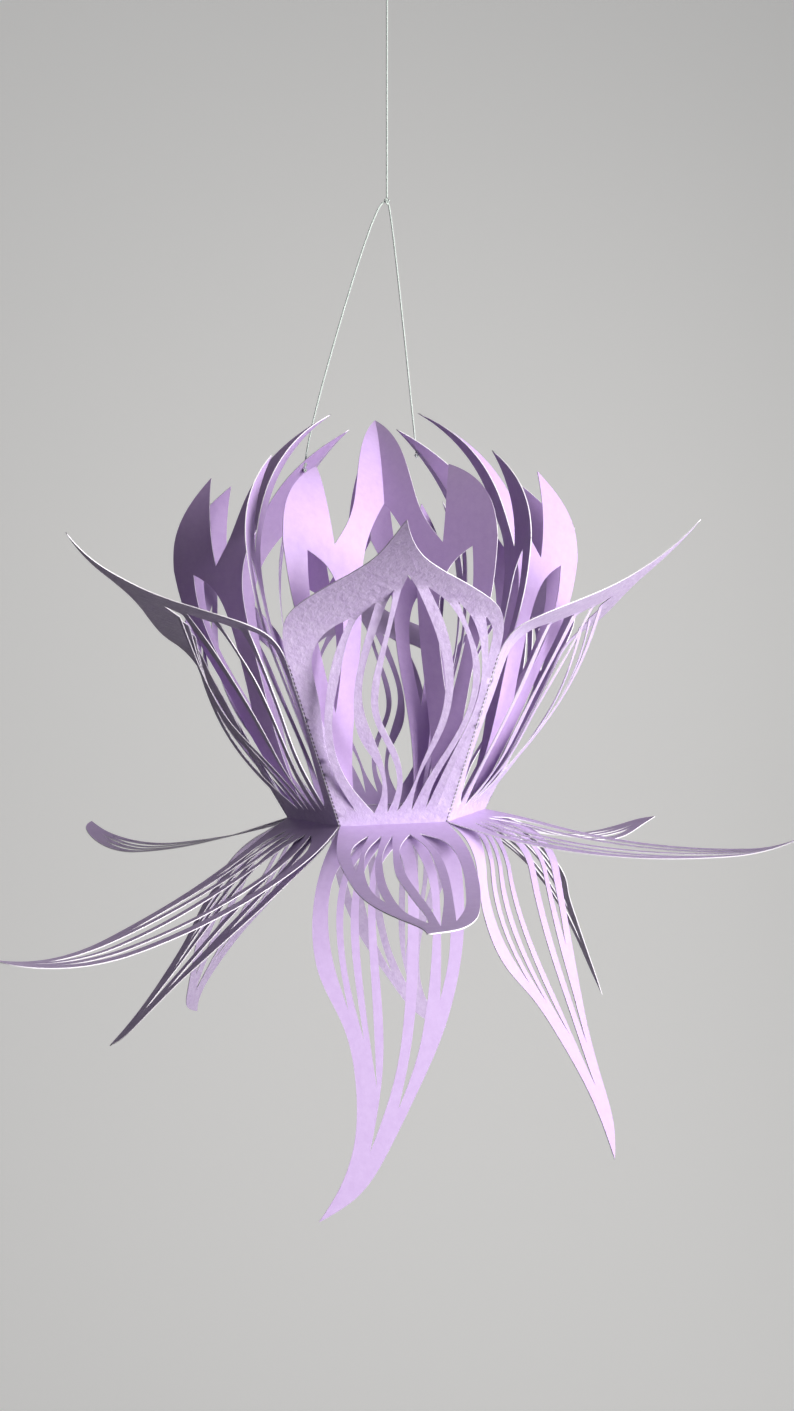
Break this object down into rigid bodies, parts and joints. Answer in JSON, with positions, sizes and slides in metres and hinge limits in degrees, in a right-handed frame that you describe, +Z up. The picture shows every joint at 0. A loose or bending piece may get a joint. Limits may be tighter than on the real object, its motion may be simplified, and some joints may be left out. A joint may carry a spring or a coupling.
{
  "type": "paper lotus lantern",
  "caption": "Hanging cut-paper lotus: a cup of folded openwork panels, curled leaves below it, pinched flame petals inside, on a thread.",
  "frame": {"origin": "where the ceiling hook's plate meets the ceiling, straight above the middle of the flower", "axes": "+Z up to the ceiling along the hanging thread; -Y towards the viewer, square to the front cup panel; +X to the viewer's right"},
  "size_m": [0.2467, 0.2841, 0.4314],
  "materials": {
    "outer_card": "matte",
    "star_card": "matte",
    "inner_card": "matte",
    "thread": "satin",
    "hook_metal": "gloss"
  },
  "bodies": {
    "root": {"outer_petal_1": "outer_card", "outer_petal_2": "outer_card", "outer_petal_3": "outer_card", "outer_petal_4": "outer_card", "outer_petal_5": "outer_card", "outer_petal_6": "outer_card", "base_star": "star_card", "inner_petal_1": "inner_card", "inner_petal_2": "inner_card", "inner_petal_3": "inner_card", "inner_petal_4": "inner_card", "inner_petal_5": "inner_card", "inner_petal_6": "inner_card", "hanging_thread": "thread", "left_thread": "thread", "right_thread": "thread", "hook_loop": "thread", "thread_knot": "thread", "hook_knot": "thread", "left_end_knot": "thread", "right_end_knot": "thread", "ceiling_hook": "hook_metal"}
  },
  "joints": []
}
